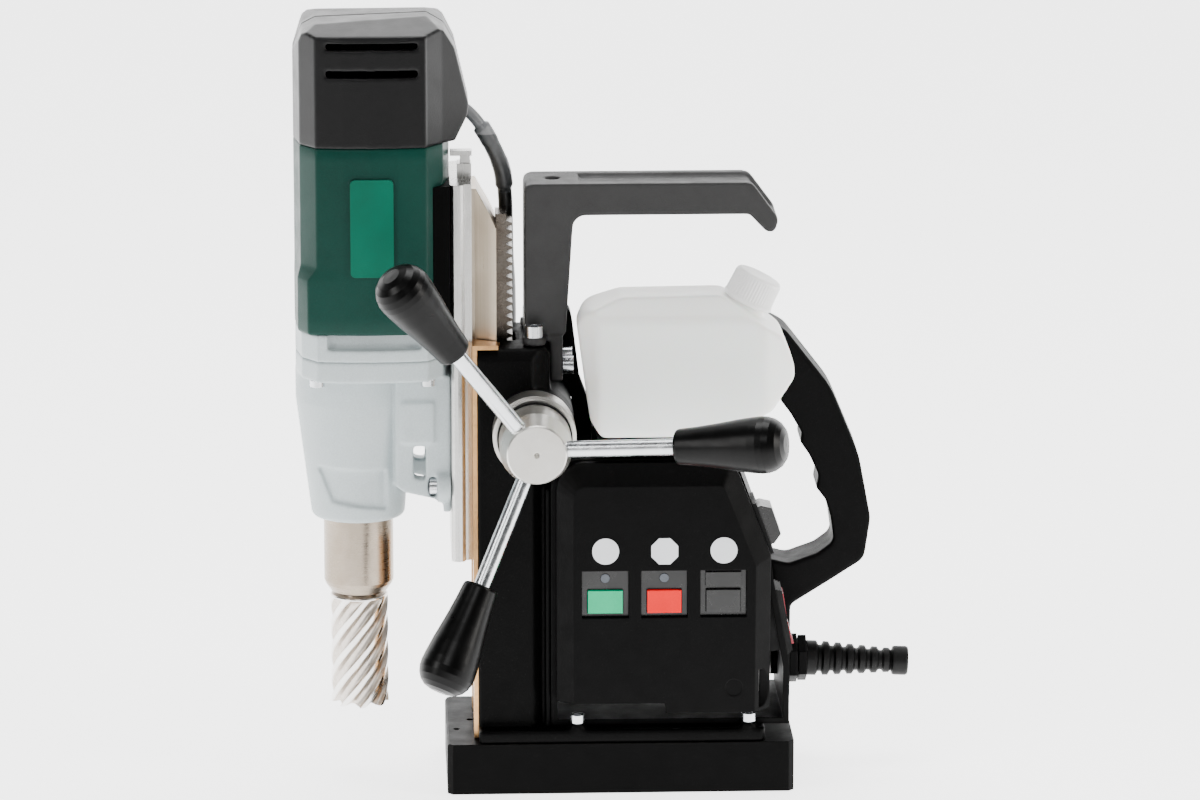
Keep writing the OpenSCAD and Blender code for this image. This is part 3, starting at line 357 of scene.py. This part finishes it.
def tube(name, pts, radius, sides, closed_ends=True):
    """A tube swept along pts with radius(arc length) in the same unit."""
    pts = np.array(pts, float)
    seg = np.linalg.norm(np.diff(pts, axis=0), axis=1)
    arc = np.concatenate([[0], np.cumsum(seg)])
    tang = np.gradient(pts, axis=0)
    tang /= np.linalg.norm(tang, axis=1)[:, None]
    ref = np.cross(tang[0], [0.3, 1, 0.2]); ref /= np.linalg.norm(ref)
    verts, faces = [], []
    for i, p in enumerate(pts):
        ref = ref - tang[i] * ref.dot(tang[i]); ref /= np.linalg.norm(ref)
        side = np.cross(tang[i], ref)
        r = radius(arc[i])
        for j in range(sides):
            a = 2 * math.pi * j / sides
            verts.append(p + r * (ref * math.cos(a) + side * math.sin(a)))
    for i in range(len(pts) - 1):
        for j in range(sides):
            k = (j + 1) % sides
            faces.append((i * sides + j, i * sides + k, (i + 1) * sides + k, (i + 1) * sides + j))
    if closed_ends:
        faces.append(tuple(range(sides))[::-1])
        faces.append(tuple((len(pts) - 1) * sides + j for j in range(sides)))
    me = bpy.data.meshes.new(name)
    me.from_pydata([tuple(v) for v in verts], [], faces)
    me.update()
    for f in me.polygons:
        f.use_smooth = len(f.vertices) == 4
    return new_obj(name, me), arc


lead_path = spline(LEAD, 12) * MM


def lead_radius(s):
    s = s / MM
    def step(a, w=0.5):
        return 1 / (1 + math.exp(-max(-40, min(40, (s - a) / (w * 0.4)))))
    r = 2.9 + 1.35 * step(17.0) - 0.25 * step(27.0) + 0.2 * step(37.0) - 0.75 * step(52.0)
    r += 0.1 * math.exp(-((s - 17.8) / 0.8) ** 2) + 0.12 * math.exp(-((s - 50.8) / 0.9) ** 2)
    return r * MM


lead, _ = tube("lead_jacket", lead_path, lead_radius, 24)
k = Mat("lead_material")
zc = k.n("ShaderNodeSeparateXYZ"); k.l(k.co, zc.inputs[0])
zz = zc.outputs["Z"]
blk = k.mix(k.ramp(k.noise(60.0, 4.0), 0.3, 0.7), (0.006, 0.006, 0.0062), (0.014, 0.014, 0.014))
gry = k.mix(k.ramp(k.noise(90.0, 4.0), 0.3, 0.7), (0.10, 0.105, 0.11), (0.17, 0.175, 0.18))
slv = k.mix(k.ramp(k.noise(140.0, 4.0), 0.3, 0.7), (0.022, 0.024, 0.026), (0.05, 0.053, 0.056))
col = k.mix(k.ramp(zz, 0.2868, 0.2872), blk, slv)
col = k.mix(k.ramp(zz, 0.3175, 0.3179), col, gry)
k.l(col, k.b.inputs["Base Color"])
k.l(k.ramp(k.noise(120.0, 3.0), 0.3, 0.7, 0.26, 0.42), k.b.inputs["Roughness"])
k.l(k.bump(k.noise(500.0, 3.0), 0.25, 0.0001), k.b.inputs["Normal"])
lead.data.materials.append(k.m)
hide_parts("motor_lead")
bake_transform(lead)


# ---------------------------------------------------------------- shaped pieces
def rings_mesh(name, rings, closed=True, smooth_angle=35.0):
    """Joins rings of equal length into one closed surface."""
    bm = bmesh.new()
    rows = [[bm.verts.new(Vector(p)) for p in ring] for ring in rings]
    n = len(rows[0])
    last = len(rows) if closed else len(rows) - 1
    for i in range(last):
        a, b = rows[i], rows[(i + 1) % len(rows)]
        for j in range(n):
            bm.faces.new((a[j], a[(j + 1) % n], b[(j + 1) % n], b[j]))
    bmesh.ops.remove_doubles(bm, verts=bm.verts, dist=1e-6)
    bmesh.ops.dissolve_degenerate(bm, edges=bm.edges, dist=1e-7)
    bmesh.ops.recalc_face_normals(bm, faces=bm.faces)
    for e in bm.edges:
        e.smooth = not (len(e.link_faces) == 2 and e.calc_face_angle(0.0) > math.radians(smooth_angle))
    for f in bm.faces:
        f.smooth = True
    me = bpy.data.meshes.new(name)
    bm.to_mesh(me)
    bm.free()
    return new_obj(name, me)


def circle(cx, cy, r, z, n, phase=0.0):
    return [((cx + r * math.cos(2 * math.pi * j / n + phase)) * MM, (cy + r * math.sin(2 * math.pi * j / n + phase)) * MM,
             z * MM) for j in range(n)]


def dress(obj, node, body, mat):
    obj.data.materials.clear()
    obj.data.materials.append(mat.m)
    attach(obj, body)
    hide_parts(node)


# core cutter: eight right-hand flutes with concave gullets that run out under the shoulder
SX, FLUTES, CR, CZ0, CZ1 = -126.0, 8, 14.0, 35.8, 90.8
CN = FLUTES * 30


def flute_radius(u, z):
    """u is the place across one flute pitch, 0 at the cutting edge."""
    if u < 0.23:
        d = 0.10 * u / 0.23
    else:
        t = (u - 0.23) / 0.77
        if t < 0.42:
            d = 0.10 + 2.55 * (0.5 - 0.5 * math.cos(math.pi * t / 0.42))
        elif t < 0.84:
            d = 2.65 + 0.25 * math.sin(math.pi * (t - 0.42) / 0.42)
        else:
            d = 2.65 * math.sqrt(max(0.0, 1 - ((t - 0.84) / 0.16) ** 2.2))
    k = (z - (CZ1 - 7.5)) / 6.4
    if k > 0:
        d *= math.sqrt(max(0.0, 1 - min(1.0, k) ** 2))
    return CR - d


rings = []
rows = 100
for i in range(rows + 1):
    z = CZ0 + (CZ1 - CZ0) * i / rows
    ring = []
    for j in range(CN):
        u = (j % 30) / 30.0
        th = math.radians(360.0 * j / CN + 3.52 * (z - CZ0))
        r = flute_radius(u, z)
        zz = z
        if i < 6:
            tooth = 1.7 * (0.5 - 0.5 * math.cos(2 * math.pi * min(1.0, max(0.0, (u - 0.12) / 0.88)))) ** 0.8
            zz = z + tooth * (1 - i / 6.0)
        if i == rows:
            r = min(r, CR - 0.5)
        ring.append(((SX + r * math.cos(th)) * MM, r * math.sin(th) * MM, zz * MM))
    rings.append(ring)
top_phase = math.radians(3.52 * (CZ1 - CZ0))
rings.append(circle(SX, 0, 9.5, CZ1, CN, top_phase))
rings.append(circle(SX, 0, 9.5, 125.0, CN, top_phase))
rings.append(circle(SX, 0, 3.2, 125.0, CN, top_phase))
rings.append(circle(SX, 0, 3.2, 86.0, CN, 0.0))
rings.append(circle(SX, 0, CR * 0.66, 86.0, CN, 0.0))
inner = []
for j in range(CN):
    u = (j % 30) / 30.0
    tooth = 1.7 * (0.5 - 0.5 * math.cos(2 * math.pi * min(1.0, max(0.0, (u - 0.12) / 0.88)))) ** 0.8
    th = 2 * math.pi * j / CN
    inner.append(((SX + CR * 0.66 * math.cos(th)) * MM, CR * 0.66 * math.sin(th) * MM, (CZ0 + 0.5 + tooth) * MM))
rings.append(inner)
cutter = rings_mesh("cutter_flutes", rings)
dress(cutter, "core_cutter", "spindle_unit", MX["cutter"])

# bottle cap: fine vertical ribs on the skirt
NECK = Matrix.Translation(Vector((61, -18.5, 238)) * MM) @ Matrix.Rotation(math.radians(26), 4, "Y")
BN = 288
prof = [(12.0, 0.6, 0), (12.4, 0.9, 0), (12.4, 2.4, 0), (12.1, 2.7, 0), (12.1, 3.0, 1), (12.05, 3.4, 1), (11.75, CAP_H - 2.2, 1),
        (11.6, CAP_H - 1.7, 1), (11.5, CAP_H - 1.4, 0), (11.2, CAP_H - 0.7, 0), (10.6, CAP_H - 0.2, 0), (9.8, CAP_H, 0),
        (0.0, CAP_H, 0), (0.0, CAP_H - 2.0, 0), (9.95, CAP_H - 2.0, 0), (9.95, 0.6, 0)]
rings = []
for r, z, rib in prof:
    rings.append([tuple(NECK @ (Vector(((r - (0.42 * (0.5 + 0.5 * math.cos(math.radians(48 * 360.0 * j / BN))) if rib else 0.0))
                                       * math.cos(2 * math.pi * j / BN),
                                       (r - (0.42 * (0.5 + 0.5 * math.cos(math.radians(48 * 360.0 * j / BN))) if rib else 0.0))
                                       * math.sin(2 * math.pi * j / BN), z)) * MM)) for j in range(BN)])
cap_obj = rings_mesh("bottle_cap_ribbed", rings, smooth_angle=50.0)
dress(cap_obj, "bottle_cap", "cap", M["white_plastic"])


# motor housing: rounded corners, wider foot band, softened lower edge
def fillet(P, r, n=5):
    out = []
    k = len(P)
    for i in range(k):
        a, b, c = (np.array(P[(i - 1) % k], float), np.array(P[i], float), np.array(P[(i + 1) % k], float))
        u, v = a - b, c - b
        lu, lv = np.linalg.norm(u), np.linalg.norm(v)
        u, v = u / lu, v / lv
        h = math.acos(max(-1, min(1, float(u @ v)))) / 2
        t = min(r / math.tan(h), 0.42 * lu, 0.42 * lv)
        rr = t * math.tan(h)
        o = b + (u + v) / np.linalg.norm(u + v) * (rr / math.sin(h))
        p, q = b + u * t - o, b + v * t - o
        for s in range(n + 1):
            w = p * (1 - s / n) + q * (s / n)
            w = w / np.linalg.norm(w) * rr
            out.append(tuple(o + w))
    return out


UP = [(-26.2, -38), (-13, -39.7), (0, -40.3), (13, -39.7), (26.2, -38), (34, -26.7), (37.1, -8.2),
      (37.1, 8.2), (34, 26.7), (26.2, 38), (13, 39.7), (0, 40.3), (-13, 39.7), (-26.2, 38), (-34, 26.7),
      (-37.1, 8.2), (-37.1, -8.2), (-34, -26.7)]
FOOT = [(-30.6, -37.6), (-13, -39.8), (0, -40.4), (13, -39.8), (26.2, -38), (34, -26.7), (37.1, -8.2),
        (37.1, 8.2), (34, 26.7), (26.2, 38), (13, 39.8), (0, 40.4), (-13, 39.8), (-30.6, 37.6), (-35.6, 28.4),
        (-37.3, 8.2), (-37.3, -8.2), (-35.6, -28.4)]
MCX = -118.4


def plan_ring(P, r, inset, z, wall=False):
    pts = np.array(fillet(P, r), float)
    if inset:
        rad = np.linalg.norm(pts, axis=1)[:, None]
        pts = pts * (1 - inset / rad)
    return [((MCX + p[0]) * MM, p[1] * MM, z * MM) for p in pts]


ZT, MT = 227.8, 318.4
rings = []
for z, ins in ((ZT, 1.5), (ZT + 0.25, 0.8), (ZT + 0.8, 0.3), (ZT + 1.6, 0.0)):
    rings.append(plan_ring(FOOT, 1.6, ins, z))
FOOT_A, UP_A = np.array(FOOT), np.array(UP)
for z, t in ((236, 0), (246, 0), (253.5, 0), (254.6, 0.06), (256.2, 0.32), (258.4, 0.72), (260, 0.94), (261.2, 1.0), (275, 1.0), (295, 1.0), (312, 1.0)):
    rings.append(plan_ring(FOOT_A * (1 - t) + UP_A * t, 1.6, 0.0, z))
for z, ins in ((MT - 1.0, 0.0), (MT - 0.4, 0.25), (MT, 0.8)):
    rings.append(plan_ring(UP, 1.6, ins, z))
rings.append(plan_ring(UP, 1.6, 3.4, MT))
rings.append(plan_ring(UP, 1.6, 3.4, ZT))
shell = rings_mesh("motor_shell", rings, smooth_angle=28.0)
dress(shell, "motor_housing", "carriage", M["green_plastic"])


# ---------------------------------------------------------------- castings and mouldings get real radii
def soften(node, voxel, passes, factor=0.5):
    o = node_obj(node)
    m = o.modifiers.new("weld", "WELD")
    m.merge_threshold = 1e-6
    m = o.modifiers.new("remesh", "REMESH")
    m.mode = "VOXEL"
    m.voxel_size = voxel * MM
    m.use_smooth_shade = True
    m = o.modifiers.new("smooth", "SMOOTH")
    m.factor, m.iterations = factor, passes


for node, voxel, passes in SOFT:
    soften(node, voxel, passes)

# ---------------------------------------------------------------- floor and light
fm = Mat("floor_material")
fm.l(fm.mix(fm.ramp(fm.noise(3.0, 3.0), 0.3, 0.7), (0.86, 0.86, 0.86), (0.89, 0.89, 0.89)), fm.b.inputs["Base Color"])
fm.l(fm.ramp(fm.noise(8.0, 3.0), 0.3, 0.7, 0.75, 0.9), fm.b.inputs["Roughness"])
fy = fm.n("ShaderNodeSeparateXYZ"); fm.l(fm.co, fy.inputs[0])
fm.l(fm.ramp(fy.outputs["Y"], -0.95, -0.08, 0.5, 2.8), fm.b.inputs["Emission Strength"])
fm.b.inputs["Emission Color"].default_value = (1, 1, 1, 1)
fm.set(spec=0.1)
bm = bmesh.new()
prof = [(-7.0, 0.0), (3.0, 0.0)] + [(3.0 + 2.0 * math.sin(math.radians(a)), 2.0 - 2.0 * math.cos(math.radians(a)))
                                     for a in range(10, 91, 10)] + [(5.0, 7.0)]
rows = [[bm.verts.new((x, y, z - 0.0004)) for x in (-8.0, 8.0)] for y, z in prof]
for a, b in zip(rows, rows[1:]):
    bm.faces.new((a[0], a[1], b[1], b[0]))
me = bpy.data.meshes.new("floor"); bm.to_mesh(me); bm.free()
for f in me.polygons:
    f.use_smooth = True
floor = new_obj("floor", me)
floor.data.materials.append(fm.m)


def area(name, loc, target, size, power, color=(1, 1, 1), size_y=None):
    d = bpy.data.lights.new(name, "AREA")
    d.energy, d.color, d.size = power, color, size
    if size_y:
        d.shape, d.size_y = "RECTANGLE", size_y
    o = bpy.data.objects.new(name, d)
    bpy.context.scene.collection.objects.link(o)
    o.location = loc
    o.rotation_euler = (Vector(target) - Vector(loc)).to_track_quat("-Z", "Y").to_euler()
    return o


area("key_left", (-1.7, -1.2, 1.0), (-0.05, 0, 0.18), 0.45, 20.0, (1.0, 0.99, 0.98), 1.4)
area("key_right", (1.7, -0.75, 0.8), (0.0, 0, 0.18), 0.45, 26.0, (1.0, 0.97, 0.93), 1.4)
area("front_soft", (-0.5, -2.4, 2.1), (-0.05, 0, 0.18), 0.9, 19.0, (1, 1, 1), 0.9)
area("top", (0.0, 0.3, 1.9), (0, 0, 0.1), 1.2, 30.0, (1, 1, 1), 0.9)
w = bpy.data.worlds.new("world")
w.use_nodes = True
w.node_tree.nodes["Background"].inputs[0].default_value = (1, 1, 1, 1)
w.node_tree.nodes["Background"].inputs[1].default_value = 0.10
bpy.context.scene.world = w
